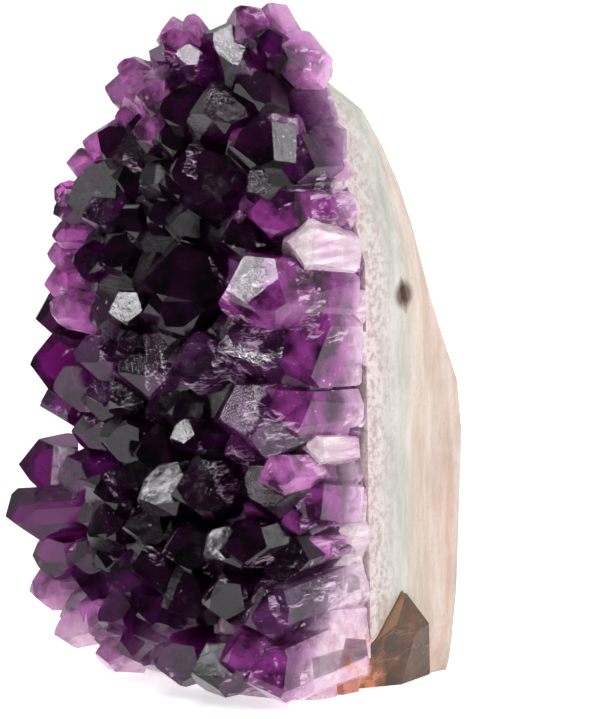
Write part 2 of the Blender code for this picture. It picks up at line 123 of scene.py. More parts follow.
# Crystals
SEED = 11
LEAST_LONG = 2.2  # radii
MOST_LONG = 5
SIDE_AWAY = (0.76, 1.08)  # how far a side lies from the axis, in radii
BIG_FACE_BACK = (-0.06, 0.06)  # how far a pyramid face is set back from the tip, in radii
SMALL_FACE_BACK = (0.18, 0.42)
BLUNT_SHARE = 0.4  # how much of its bluntness moves a crystal's pyramid faces outwards
FACE_LEAN = math.radians(38.2)  # a quartz pyramid face leans this far from the crystal's axis
CHIPS = 3  # small chipped facets on each crystal
CHIP_DEPTH = (0.03, 0.16)  # radii
CHIP_LEAN = (20, 75)  # degrees
LEAST_FORWARD = 0.2  # keeps a crystal that points sideways from growing too long
PHANTOM_Y = 5 * MM  # how far in front of the wall the crystals at the ground side turn milky
PHANTOM_X = 16 * MM
PHANTOM_WIDER = 1.06
PHANTOM_BLUNT = 0.1
SIDE_ROOTS_X = 15 * MM  # crystals further right than this show their whole flank, so they reach the wall
SIDE_ROOT_DEPTH = 1 * MM
ROOT_DEPTH = 9 * MM  # how far in front of the wall a crystal's root end lies

# Small unnamed crystals: their spacing and, in millimetres, their least and greatest radius
FILLER_STEP = 7.6 * MM
FILLER_RADIUS = (3.4, 4.6)
FILLER_RISE = (4, 7)  # how far the tips stand out of the roots, in millimetres
RIM_MARGIN = 9 * MM  # none of the front ones stands this close to the ground side
SIDE_STEP = 13 * MM
SIDE_RADIUS = (4, 5.6)
SIDE_ROWS_Y = (-3.5 * MM, -10 * MM)
RIM_STEP = 5.5 * MM
RIM_RADIUS = (2.6, 3.6)
TOP_STEP = 5  # millimetres
TOP_RADIUS = (3.6, 4.4)
LEANS_UP_FROM = 85 * MM  # above this height the front ones lean up more and more
TOP_PITCH = 55
LEFT_YAW = 60  # how far the ones at the left edge lean to the left
SMALL_LONG = 3  # radii

# How each crystal looks; what isn't named here is plain violet. The look of the dark middle is a darker copy
# of amethyst as painted shade, the look of the crystals that catch the light a lighter copy as painted
# light, and the lilac look is pale lilac zoning that carries painted light too.
PAINTED_SHADE = """dusk dusk_left grey_pair streaked glint glint_low left_shoulder pepper mauve_small giant
    giant_foot rosette_foot dark_arrow ember_left slate_slim slate dew dew_right cave_a cave_b cave_c cave_d
    night_a night_b night_c night_d night_e night_f shadow_facet left_haze""".split()
VEILED = "hazy hazy_side silver silver_foot rosette lattice".split()
PAINTED_LIGHT = """lamp plum mauve spark prism_upper prism_dark magenta_eye violet_knot mauve_slab
    foot_front foot_knee horn_low horn violet_edge""".split()
# The lilac look: pale lilac zoning, with painted light on the crystals at the top and the left rim.
LILAC = """summit rose_ridge rose_side horn_top crown_back crown_knob lilac_face lilac_tip lilac_knob
    left_opal left_bead left_bead_b left_bead_c prism_long lilac_lip glass_tip curtain_left hem_left
    shoulder_a foot_right""".split()
MILKY = "milk prism_pale lilac_gem frost foot_pale lilac_upper spark_pale rim_upper rim_lower".split()

# Small crystals: which looks they have, and where a look begins, in millimetres as seen
FILLER_TONES = ("painted_shade", "violet", "painted_light", "lilac", "milky")
GROUND_SIDE_X = 12 * MM
MILKY_UP = 14
LILAC_UP = 98
LEFT_EDGE = -27
FAR_LEFT = -31
LILAC_LEFT_UP = (60, 92)
LILAC_FOOT_UP = 16
PAINTED_SHADE_UP = 12

# Looks
QUARTZ_IOR = 1.544
VIOLET_PASSED = (0.8, 0.12, 0.76, 1)  # the light that amethyst lets through


class Tone(NamedTuple):
    """How one group of crystals looks."""

    density: float  # how strongly it absorbs
    body: tuple  # the colour of what scatters light inside it
    cloudy: float  # the share of light that the body scatters
    veils: float  # how much of it healed cracks cover
    # The specks are dust, and painted sparkle where they stand in for tiny glints.
    dust_and_sparkle: float  # how thickly specks lie in it


# Of these looks, the dark middle's is a darker copy as painted shade, that of the crystals which catch the
# light a lighter copy as painted light, and the lilac one partly pale zoning and partly painted light.
TONES = {
    "painted_shade": Tone(340, (0.08, 0.008, 0.08), 0.1, 0.0, 0.7),
    "veiled": Tone(240, (0.2, 0.05, 0.21), 0.26, 1.4, 1.5),
    "violet": Tone(560, (0.24, 0.015, 0.25), 0.15, 0.4, 0.6),
    "painted_light": Tone(240, (0.33, 0.05, 0.3), 0.44, 0.8, 0.9),
    "lilac": Tone(140, (0.58, 0.17, 0.52), 0.48, 0.7, 0.8),
}
MOST_BODY = 0.92  # the greatest share of light that any of them scatters
GROWTH_LINE = 0.04 * MM  # the relief of a crystal's faces
FACE_STEP = 0.12 * MM
FACE_GRAIN = 0.03 * MM
VEIL_COLOUR = (0.82, 0.68, 0.8)
MILK_COLOUR = (0.82, 0.6, 0.75)
MILK_STREAK = (0.95, 0.86, 0.92)
FOOT_MILK = (0.86, 0.68, 0.76)
MILKY_REACH = 10 * MM  # how far from the wall the crystals' milky ends go
FOOT_REACH = 26 * MM  # below this height the milky ends grow longer
CLEAR_ABOVE = 74 * MM  # above this height the milky ends are short
ROOT_FADE_Y = 12 * MM  # how far from the wall the roots turn violet
ROOT_FADE_START = 0.5
RUST = (0.78, 0.3, 0.17)
RUST_AT = Vector((24, 2, 3)) * MM

# The wall's colours from the crystals to its back, as shares of its depth
WALL_DEPTH = 30 * MM
WALL_BANDS = (
    (0.0, (0.72, 0.55, 0.56)),
    (0.1, (0.6, 0.54, 0.52)),
    (0.22, (0.5, 0.5, 0.44)),
    (0.32, (0.42, 0.44, 0.39)),
    (0.4, (0.56, 0.46, 0.38)),
    (0.7, (0.62, 0.42, 0.35)),
    (1.0, (0.5, 0.38, 0.3)),
)
# A small dark pit in the wall's side: its own brown, and painted shade for its hollow
PIT_AT = Vector((28.6, 10.3, 67.8)) * MM
PIT_REACH = 3 * MM
PIT_BROWN_AND_SHADE = (0.1, 0.045, 0.025)

# Light: each lamp's place across, up and towards the camera from the middle, its size and its watts
FLOOR_GLOW = 0.62
FLOOR_REACH = 3
FRONT_LIGHT = 0.05
BACK_LIGHT = 1.0
BRIGHT_WAY = -TOWARDS + Vector((0, 0, 0.2))
BRIGHT_FROM, BRIGHT_TO = -0.5, 0.6  # how far towards the bright way the light starts and stops growing
LAMPS_AIM_UP = 55
LAMPS = {
    "overhead": (-0.1, 0.6, 0.15, 0.3, 0.65),
    "left_window": (-0.5, 0.1, 0.35, 0.15, 0.17),
    "right": (0.6, 0.2, 0.25, 0.27, 1.8),
    # Small ones, each where a few faces send it straight to the camera
    "glint_top": (0.033, 0.606, 0.254, 0.06, 0.3),
    "glint_middle": (0.015, 0.4, 0.487, 0.05, 0.3),
    "glint_left": (-0.167, 0.366, 0.453, 0.07, 0.45),
    "glint_low": (-0.012, 0.13, 0.61, 0.04, 0.15),
}


class Crystal(NamedTuple):
    """One crystal of the crust. Lengths are in millimetres and angles in degrees."""

    name: str
    across: float  # where its tip shows from the side on show
    up: float
    y: float  # how far in front of the wall the tip stands
    radius: float
    yaw: float = 0  # how far it leans to the left of straight out
    pitch: float = 0  # how far it leans up
    spin: float = 0
    blunt: float = 0.15  # how far the tip is cut back, in radii


CRYSTALS = (
    # Top
    Crystal("summit", 4.6, 117, -4, 5.2, 0, 66, 10, 0.5),
    Crystal("crown", -7.2, 111.5, -16, 6.6, 25, 38, 25, 0.35),
    Crystal("crown_back", -1, 115.5, -12, 4.6, 10, 55, 0, 0.4),
    Crystal("crown_knob", -9.3, 113.4, -14, 1.9, 20, 50, 40),
    Crystal("crown_right", 2.6, 109.5, -12, 3.4, 5, 30, 15),
    Crystal("rose_ridge", 7.2, 108, -9, 4.6, -8, 28, 50, 0.3),
    Crystal("rose_side", 11.6, 107, -3, 3.7, -12, 40, 20, 0.4),
    Crystal("shoulder_a", -13.6, 111, -14, 3.4, 35, 40, 0),
    Crystal("shoulder_b", -15.8, 107.6, -14, 3.2, 40, 32, 30),
    Crystal("shoulder_c", -11.2, 107, -18, 3.0, 25, 25, 12),
    Crystal("horn_top", -21.6, 105.6, -13, 2.8, 45, 28, 20),
    Crystal("horn", -24.8, 101.8, -15, 5.0, 42, 10, 5, 0.5),
    Crystal("horn_low", -21.8, 96.6, -16, 2.8, 35, 12, 40),
    Crystal("glass_tip", -19.4, 93.6, -18, 3.4, 30, 5, 18, 0.3),
    Crystal("lilac_tip", -28, 92.6, -16, 4.2, 42, 8, 0, 0.25),
    Crystal("lilac_knob", -31, 89.6, -16, 2.6, 50, 15, 30, 0.4),
    # Upper middle
    Crystal("dusk", -8.6, 97.6, -20.5, 6.4, 10, 18, 35, 0.2),
    Crystal("dusk_left", -15.4, 98.4, -20, 5.0, 22, 14, 10, 0.3),
    Crystal("grey_pair", -1.4, 101.4, -16.5, 4.8, 5, 24, 28, 0.35),
    Crystal("violet_top", 6, 97.5, -9.5, 5.6, 2, 12, 22, 0.45),
    Crystal("violet_mid", 9, 91, -9, 5.0, -4, 4, 0, 0.4),
    Crystal("violet_low", 4, 86.6, -16, 6.0, 2, 2, 32, 0.4),
    Crystal("violet_edge", 2.4, 94.4, -13.5, 3.2, 12, 4, 10, 0.2),
    Crystal("lilac_face", 13.4, 87, -5, 4.6, -6, 4, 30, 0.5),
    Crystal("lilac_upper", 11.5, 97, -3.5, 3.6, -8, 12, 0, 0.4),
    Crystal("streaked", -2.4, 90.6, -20, 5.6, 14, 10, 20, 0.25),
    Crystal("glint", -13.4, 86.4, -23.5, 6.4, 22, 6, 12, 0.3),
    Crystal("glint_low", -10.6, 80.6, -22.5, 4.8, 12, -6, 15, 0.3),
    Crystal("left_shoulder", -31.2, 83.2, -19, 7.6, 38, 4, 12, 0.12),
    Crystal("left_ledge", -33.2, 80, -18, 3.4, 42, -4, 40, 0.2),
    Crystal("left_bead", -33.4, 84, -17, 2.6, 55, 10, 0, 0.4),
    Crystal("left_bead_b", -33.6, 76.6, -16, 2.6, 55, 4, 20, 0.4),
    Crystal("left_bead_c", -34.6, 72.6, -16, 2.8, 52, 0, 33, 0.4),
    Crystal("left_haze", -29.4, 74, -17, 5.6, 34, 2, 18, 0.45),
    Crystal("left_opal", -35.6, 67.6, -15, 3.8, 50, -2, 8, 0.5),
    # Middle
    Crystal("mauve", 1.2, 79.2, -20, 5.2, 6, 4, 6, 0.3),
    Crystal("mauve_small", 0.6, 83.2, -20, 3.4, 10, 0, 40, 0.3),
    Crystal("pepper", -3.2, 74.4, -22, 3.4, 10, 2, 20, 0.25),
    Crystal("spark", 9.5, 79.6, -12, 3.6, 0, 4, 12, 0.5),
    Crystal("spark_pale", 15, 79.6, -5, 3.3, -6, 6, 40, 0.5),
    Crystal("rim_upper", 17, 63.4, -5.6, 4.2, -10, 4, 20, 0.6),
    Crystal("rim_lower", 18, 56.4, -4.6, 3.8, -12, 0, 0, 0.6),
    Crystal("milk", 6.8, 74.6, -19.8, 4.6, -2, 13, 0, 0.95),
    Crystal("lamp", -3, 65.6, -29, 7.6, 4, 3, 26, 0.3),
    Crystal("plum", 4.5, 56, -21, 7.0, -1, 4, 24, 0.45),
    Crystal("giant", -17.6, 68.6, -28, 8.8, 12, 4, 4, 0.3),
    Crystal("giant_foot", -14.6, 59.6, -26, 4.6, 15, -14, 35, 0.3),
    Crystal("hazy", -6.2, 56, -27, 8.8, 4, 2, 38, 0.5),
    Crystal("hazy_side", -12.8, 52.6, -28, 5.0, 12, -4, 10, 0.4),
    Crystal("silver", -5.4, 45.2, -27, 6.0, 10, -2, 22, 0.4),
    Crystal("silver_foot", 1, 40, -25, 4.4, 2, -8, 0, 0.35),
    Crystal("rosette", -24.4, 53.8, -24, 7.4, 26, 6, 30, 0.5),
    Crystal("rosette_foot", -28.8, 47.4, -21, 5.4, 30, -4, 4, 0.3),
    Crystal("dark_arrow", -37, 61.8, -16, 5.4, 42, 0, 27, 0.2),
    Crystal("facet_left", -38.4, 54.4, -17, 6.4, 44, 2, 8, 0.35),
    Crystal("facet_left_low", -36.8, 46.6, -17, 5.8, 44, -6, 38, 0.5),
    Crystal("prism_upper", 4.2, 45, -22.7, 4.6, -2, 4, 28, 0.5),
    Crystal("prism_pale", 9.7, 39.8, -15.9, 3.1, -3, 6, 10, 0.9),
    Crystal("prism_long", 3.2, 35.2, -24.5, 3.5, -2, 6, 30, 0.5),
    Crystal("prism_dark", 8, 31, -17.9, 4.2, -2, 10, 0, 0.6),
    # Lower middle
    Crystal("ember_left", -19, 38.4, -25, 4.6, 18, 0, 12, 0.3),
    Crystal("slate_slim", -12, 41.4, -28, 2.8, 14, 2, 35, 0.2),
    Crystal("slate", -17.6, 31.2, -27, 4.8, 14, 0, 40, 0.2),
    Crystal("dew", -12.2, 31.4, -28, 5.6, 10, -2, 18, 0.4),
    Crystal("dew_right", -0.6, 31.6, -26, 5.0, 4, -4, 26, 0.35),
    Crystal("cave_a", -24, 40, -23, 4.4, 25, 0, 0),
    Crystal("cave_b", -25.6, 31.6, -22, 4.0, 25, 0, 20),
    Crystal("cave_c", -26.8, 24.8, -22, 3.6, 30, -4, 40),
    Crystal("cave_d", -20.4, 25.4, -25, 4.4, 18, -4, 10),
    Crystal("magenta_eye", 6.8, 27, -18.6, 2.8, 0, 0, 22, 0.4),
    Crystal("lilac_lip", 9, 21.5, -16.4, 3.3, -2, 0, 8, 0.5),
    Crystal("lilac_gem", 16, 23.5, -7.9, 3.6, -8, 0, 30, 0.6),
    Crystal("frost", 13, 17, -11.4, 4.2, -6, 0, 15, 0.7),
    Crystal("violet_knot", 8.5, 15, -16, 3.6, 2, 0, 42, 0.3),
    Crystal("mauve_slab", 8, 10, -17.9, 4.6, -3, 4, 2, 0.6),
    Crystal("night_a", -13.6, 21.6, -28, 5.4, 12, -4, 12, 0.25),
    Crystal("night_b", -7, 20.8, -28, 5.0, 8, -6, 44, 0.3),
    Crystal("night_c", -3, 22.4, -28, 4.4, 4, -4, 20, 0.2),
    Crystal("night_d", 3.8, 18.4, -22, 4.6, 2, -6, 33, 0.25),
    Crystal("night_e", -6.4, 12.6, -29, 5.0, 6, -10, 5, 0.3),
    Crystal("night_f", -14, 12.6, -28, 5.2, 14, -10, 28, 0.3),
    Crystal("lattice", 0.6, 10, -28, 5.2, 2, -8, 18, 0.3),
    # Lower left
    Crystal("berry", -41, 36.2, -17, 5.6, 48, 4, 15, 0.6),
    Crystal("berry_tip", -43.4, 27.2, -20, 5.8, 50, -4, 38, 0.4),
    Crystal("berry_foot", -38.6, 20, -18, 5.2, 46, -8, 5, 0.5),
    Crystal("curtain", -31.4, 18.4, -19, 6.8, 34, 14, 22, 0.35),
    Crystal("curtain_fold", -24.8, 16.6, -22, 5.6, 26, 6, 42, 0.4),
    Crystal("curtain_hem", -34, 9.2, -17, 5.4, 34, -6, 10, 0.5),
    Crystal("curtain_left", -38.6, 14.4, -16, 4.6, 44, 0, 30, 0.4),
    Crystal("hem_left", -33.8, 6.4, -17, 3.6, 40, -10, 20, 0.4),
    Crystal("hem_mid", -26.6, 5.4, -20, 4.0, 28, -10, 0, 0.4),
    Crystal("hem_right", -21.4, 8, -22, 5.4, 22, -6, 16, 0.4),
    Crystal("shadow_facet", -19, 18.4, -26, 4.4, 18, 0, 24, 0.25),
    # Foot
    Crystal("foot_left", -15.8, 1.8, -29, 4.8, 22, -10, 6, 0.3),
    Crystal("foot_mid", -8.6, 1.6, -31, 5.2, 8, -2, 24, 0.35),
    Crystal("foot_knee", -3.2, 3.4, -31, 4.0, 2, -4, 12, 0.4),
    Crystal("foot_front", 0.4, -0.6, -29, 5.8, 2, -10, 20, 0.5),
    Crystal("foot_right", 6, 0.2, -21.6, 5.0, -2, -4, 0, 0.6),
    Crystal("foot_pale", 11, 3.6, -14.5, 5.0, -5, 0, 26, 0.7),
)


def seen(across, up):
    """An offset given as it is seen from the side on show, in millimetres."""
    return (ACROSS * across + UPWARDS * up) * MM


def tip_of(crystal):
    """Slides the point where the tip is seen along the line of sight, to the crystal's own depth."""
    point = seen(crystal.across, crystal.up)
    return point + TOWARDS * ((crystal.y * MM - point.y) / TOWARDS.y)


def growth_axis(yaw, pitch):
    """The way a crystal points: out of the wall along -Y, turned to the left by yaw and up by pitch."""
    yaw, pitch = math.radians(yaw), math.radians(pitch)
    return Vector((-math.sin(yaw) * math.cos(pitch), -math.cos(yaw) * math.cos(pitch), math.sin(pitch)))


def cut_away(shape, point, normal):
    """Takes off what lies past a plane and closes the cut with one flat face."""
    everything = shape.verts[:] + shape.edges[:] + shape.faces[:]
    cut = bmesh.ops.bisect_plane(
        shape, geom=everything, dist=1e-7, plane_co=point, plane_no=normal, clear_outer=True
    )
    rim = [part for part in cut["geom_cut"] if isinstance(part, bmesh.types.BMEdge)]
    if rim:
        bmesh.ops.edgeloop_fill(shape, edges=rim)


def add_object(shape, name, material=None):
    """Makes an object of a bmesh."""
    bmesh.ops.recalc_face_normals(shape, faces=shape.faces)
    mesh = bpy.data.meshes.new(name)
    shape.to_mesh(mesh)
    shape.free()
    made = bpy.data.objects.new(name, mesh)
    bpy.context.scene.collection.objects.link(made)
    if material:
        mesh.materials.append(material)
    return made


def chart_faces(shape):
    """Gives each face a map of its own flat surface, in centimetres."""
    surface = shape.loops.layers.uv.new("surface")
    for face in shape.faces:
        sideways = Vector((0, 0, 1)).cross(face.normal)
        if sideways.length < 0.01:
            sideways = Vector((1, 0, 0))
        sideways.normalize()
        for loop in face.loops:
            loop[surface].uv = (loop.vert.co.dot(sideways) * 100, loop.vert.co.z * 100)


def grow_crystal(name, tip, axis, radius, length, spin, blunt, rng):
    """One quartz crystal: a block trimmed to six uneven sides and a six-faced point."""
    gem = bmesh.new()
    bmesh.ops.create_cube(gem, size=1)
    bmesh.ops.scale(gem, vec=(4 * radius, 4 * radius, length), verts=gem.verts)
    bmesh.ops.translate(gem, vec=(0, 0, -length / 2), verts=gem.verts)
    for side in range(6):
        turn = math.radians(60 * side) + spin
        outwards = Vector((math.cos(turn), math.sin(turn), 0))
        cut_away(gem, outwards * radius * rng.uniform(*SIDE_AWAY), outwards)
        # Every other pyramid face is a small one.
        set_back = rng.uniform(*(SMALL_FACE_BACK if side % 2 else BIG_FACE_BACK))
        slope = outwards * math.cos(FACE_LEAN) + Vector((0, 0, math.sin(FACE_LEAN)))
        cut_away(gem, slope * radius * (set_back - blunt * BLUNT_SHARE), slope)
    for _ in range(CHIPS):
        lean = math.radians(rng.uniform(*CHIP_LEAN))
        turn = rng.uniform(0, math.tau)
        level = math.cos(lean)
        facing = Vector((math.cos(turn) * level, math.sin(turn) * level, math.sin(lean)))
        reach = max(vert.co.dot(facing) for vert in gem.verts)
        cut_away(gem, facing * (reach - rng.uniform(*CHIP_DEPTH) * radius), facing)
    gem.normal_update()
    chart_faces(gem)
    gem.transform(Matrix.Translation(tip + SHIFT) @ axis.to_track_quat("Z", "Y").to_matrix().to_4x4())
    return add_object(gem, name)


def stone_reach(z):
    """How far the stone reaches left and right at a height: it narrows above the middle and at the foot."""
    above = max(0.0, min(1.0, (z - NARROWS_FROM) / NARROWING))
    foot = 1 - FOOT_NARROWER * max(0.0, 1 - z / FOOT_HEIGHT) ** 1.5
    left = LEFT_X * math.sqrt(1 - above**2) * foot
    right = RIGHT_X * math.sqrt(1 - (0.98 * above) ** 1.5) * foot
    return left, right


def front_reach(x, z, depth):
    """How far a layer reaches in front of the wall: least at the top and at the ground side."""
    rise = max(0.0, min(1.0, (z - THINS_FROM) / (HEIGHT - THINS_FROM)))
    rim = RIM_THINNER[x > 0]
    return depth * math.sqrt(1 - TOP_THINNER * rise**2) * (1 - rim * abs(x) ** 4)


def root_layer(depth, back, wide):
    """A slab of grown-together quartz in front of the wall, from the depth back to the given distance."""
    shape = bmesh.new()
    bmesh.ops.create_uvsphere(shape, u_segments=SEGMENTS, v_segments=RINGS, radius=1)
    for vert in shape.verts:
        longer = 1 if vert.co.z > 0 else BELOW_BASE
        height = HEIGHT * (0.5 + 0.5 * longer * math.asin(vert.co.z) / math.asin(1))
        turn = math.atan2(vert.co.y, vert.co.x)
        flat = min(1.0, SHOULDERS * math.hypot(vert.co.x, vert.co.y))
        x, y = math.cos(turn), math.sin(turn)
        size = flat * wide * (abs(x) ** CORNER + abs(y) ** CORNER) ** (-1 / CORNER)
        size *= 1 + LUMPS * noise.noise(Vector((1.4 * x, 1.4 * y, height / LUMP_SIZE)))
        left, right = stone_reach(height)
        front = front_reach(x, height, depth)
        vert.co = (x * size * (right if x > 0 else left), y * size * front, height)
    cut_away(shape, Vector((0, 0, BASE_GAP)), Vector((0, 0, -1)))
    cut_away(shape, Vector((0, -back, 0)), Vector((0, 1, 0)))
    cut_away(shape, Vector((ROOTS_SIDE_X, 0, 0)), SIDE_FACING)
    cut_away(shape, UNDERCUT_AT, UNDERCUT_FACING)
    return shape


def mass(name, edges):
    """The part of the roots that one group of crystals grew from, kept inside its edges."""
    shape = root_layer(ROOTS_Y, MASS_BACK_Y, MASS_WIDE)
    for place, facing in edges:
        cut_away(shape, Vector(place) * MM, Vector(facing).normalized())
    return placed(shape, name)


def placed(shape, name):
    """Turns a bmesh in the stone's own frame into a charted object in the solids' frame."""
    shape.transform(Matrix.Translation(SHIFT))
    shape.normal_update()
    chart_faces(shape)
    return add_object(shape, name)


def crystal_object(crystal, number):
    """One crystal that reaches from its tip back into the roots."""
    tip = tip_of(crystal)
    axis = growth_axis(crystal.yaw, crystal.pitch)
    radius = crystal.radius * MM
    root_end = SIDE_ROOT_DEPTH if tip.x > SIDE_ROOTS_X else ROOT_DEPTH
    to_roots = (-tip.y - root_end) / max(LEAST_FORWARD, -axis.y)
    length = max(LEAST_LONG * radius, min(to_roots, MOST_LONG * radius))
    rng = random.Random(number)
    spin = math.radians(crystal.spin)
    name = f"crystal_{crystal.name}"
    return grow_crystal(name, tip, axis, radius, length, spin, crystal.blunt, rng)


def milky_root(crystal, number):
    """The pale end of a crystal at the ground side, with a phantom point inside the clear crystal."""
    tip = tip_of(crystal)
    axis = growth_axis(crystal.yaw, crystal.pitch)
    rng = random.Random(number)
    back = max(0.0, (-PHANTOM_Y - tip.y) / -axis.y)
    phantom = tip - axis * back
    radius = crystal.radius * MM * PHANTOM_WIDER
    length = -phantom.y / max(LEAST_FORWARD, -axis.y)
    spin = math.radians(crystal.spin)
    name = f"root_{crystal.name}"
    return grow_crystal(name, phantom, axis, radius, length, spin, PHANTOM_BLUNT, rng)


def filler_places():
    """Small crystals on a jittered grid that cover the roots where no named crystal stands."""
    rng = random.Random(SEED)
    fillers = []
    for row in range(int(HEIGHT / FILLER_STEP)):
        z = (row + 0.5) * FILLER_STEP
        left, right = stone_reach(z)
        for column in range(-5, 6):
            x = (column + 0.5 + 0.5 * (row % 2) + rng.uniform(-0.2, 0.2)) * FILLER_STEP
            if not -left < x < min(right, SIDE_X) - RIM_MARGIN:
                continue
            aside = max(0.0, -x / left)
            y = -front_reach(x / RIGHT_X, z, ROOTS_Y) - rng.uniform(*FILLER_RISE) * MM
            rise = max(0.0, (z - LEANS_UP_FROM) / (HEIGHT - LEANS_UP_FROM))
            pitch = TOP_PITCH * rise + rng.uniform(-12, 12)
            place = Vector((x, y, z + rng.uniform(-1.5, 1.5) * MM))
            yaw = LEFT_YAW * aside**2 + rng.uniform(-14, 14)
            fillers.append((place, yaw, pitch, rng.uniform(*FILLER_RADIUS) * MM))
    for row in range(int(HEIGHT / SIDE_STEP)):
        z = (row + 0.7) * SIDE_STEP
        left, _ = stone_reach(z)
        for y in SIDE_ROWS_Y:
            place = Vector((-left - rng.uniform(0.5, 2) * MM, y, z + rng.uniform(-3, 3) * MM))
            yaw, pitch = rng.uniform(50, 85), rng.uniform(-20, 30)
            fillers.append((place, yaw, pitch, rng.uniform(*SIDE_RADIUS) * MM))
    for x in range(-11, 14, TOP_STEP):
        place = Vector((x * MM, rng.uniform(-9, -4) * MM, HEIGHT + rng.uniform(1, 3) * MM))
        yaw, pitch = rng.uniform(-10, 20), rng.uniform(55, 75)
        fillers.append((place, yaw, pitch, rng.uniform(*TOP_RADIUS) * MM))
    return fillers


def rim_places():
    """Pale little crystals along the ground side, between the wall and the violet crystals' flanks."""
    rng = random.Random(SEED + 1)
    places = []
    for row in range(int(HEIGHT / RIM_STEP)):
        z = (row + 0.5) * RIM_STEP
        _, right = stone_reach(z)
        x = min(right, ROOTS_SIDE_X) + rng.uniform(-1, 1) * MM
        place = Vector((x, rng.uniform(-6, -4) * MM, z + rng.uniform(-1, 1) * MM))
        yaw, pitch = rng.uniform(-50, -20), rng.uniform(-10, 20)
        places.append((place, yaw, pitch, rng.uniform(*RIM_RADIUS) * MM))
    return places


def small_crystals(places, name):
    """Makes an unnamed crystal at each place, lifted out of the undercut where it would hang below it."""
    made = []
    for number, (place, yaw, pitch, radius) in enumerate(places):
        below = (place - UNDERCUT_AT).dot(UNDERCUT_FACING)
        if below > 0:
            place = place - UNDERCUT_FACING * below
        rng = random.Random(SEED + number)
        axis = growth_axis(yaw, pitch)
        spin, blunt = rng.uniform(0, 1), rng.uniform(0.1, 0.5)
        length = SMALL_LONG * radius
        made.append(grow_crystal(f"{name}_{number}", place, axis, radius, length, spin, blunt, rng))
    return made


def filler_tone(place):
    """The look of a small crystal: dark in the middle as painted shade, lighter at the rim of what is on
    show, partly as painted light.
    """
    across, up = place.dot(ACROSS) / MM, place.dot(UPWARDS) / MM
    if place.x > GROUND_SIDE_X:
        return "painted_light" if up > MILKY_UP else "milky"
    if up > LILAC_UP:
        return "lilac"
    if across < LEFT_EDGE:
        lowest, highest = LILAC_LEFT_UP
        beads = across < FAR_LEFT and lowest < up < highest
        return "lilac" if beads or up < LILAC_FOOT_UP else "violet"
    return "painted_shade" if up > PAINTED_SHADE_UP else "violet"


def tone_of(crystal):
    """The look of a named crystal."""
    groups = {"painted_shade": PAINTED_SHADE, "veiled": VEILED, "painted_light": PAINTED_LIGHT, "lilac": LILAC, "milky": MILKY}
    return next((tone for tone, names in groups.items() if crystal.name in names), "violet")


def boolean(made, operation, other):
    """Joins or cuts with one object, or with every object of a collection."""
    modifier = made.modifiers.new(operation.lower(), "BOOLEAN")
    modifier.operation = operation
    modifier.solver = "EXACT"
    if isinstance(other, bpy.types.Collection):
        modifier.operand_type = "COLLECTION"
        modifier.collection = other
    else:
        modifier.object = other


def connected(vert):
    """The vertices that edges join to this one, itself included."""
    found = {vert}
    edge = [vert]
    while edge:
        for link in edge.pop().link_edges:
            for other in link.verts:
                if other not in found:
                    found.add(other)
                    edge.append(other)
    return found


def settle(made):
    """Applies the modifiers and fills the little sealed pockets that are left between crystals."""
    bpy.context.view_layer.update()
    graph = bpy.context.evaluated_depsgraph_get()
    shape = bmesh.new()
    shape.from_mesh(made.evaluated_get(graph).to_mesh())
    bmesh.ops.remove_doubles(shape, verts=shape.verts, dist=0.001 * MM)
    left = set(shape.verts)
    pockets = []
    while left:
        body = connected(next(iter(left)))
        left -= body
        faces = {face for vert in body for face in vert.link_faces}
        if sum(face.calc_center_median().dot(face.normal) * face.calc_area() for face in faces) <= 0:
            pockets.append(body)
    for pocket in pockets:
        bmesh.ops.delete(shape, geom=list(pocket), context="VERTS")
    made.modifiers.clear()
    shape.to_mesh(made.data)
    shape.free()


def grown_together(name, parts, room, material):
    """One piece of crystals, and the mass that they grew from, kept to its room."""
    base = parts[0]
    base.name = name
    together = bpy.data.collections.new(f"{name}_parts")
    for crystal in parts[1:]:
        bpy.context.scene.collection.objects.unlink(crystal)
        together.objects.link(crystal)
    boolean(base, "UNION", together)
    boolean(base, "INTERSECT", room)
    settle(base)
    for crystal in parts[1:]:
        bpy.data.objects.remove(crystal, do_unlink=True)
    base.data.materials.clear()
    base.data.materials.append(material)
    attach(base, "root")
    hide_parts("amethyst_crust")


def crust_room():
    """The space that crystals may fill: above the base, before the wall and left of the ground side."""
    room = bmesh.new()
    bmesh.ops.create_cube(room, size=400 * MM, matrix=Matrix.Translation((0, 0, 200 * MM + BASE_GAP)))
    cut_away(room, Vector((0, WALL_FRONT_Y - BASE_GAP, 0)), Vector((0, 1, 0)))
    cut_away(room, Vector((SIDE_X, 0, 0)), SIDE_FACING)
    room.transform(Matrix.Translation(SHIFT))
    made = add_object(room, "crust_room")
    made.hide_render = True
    return made


# Materials


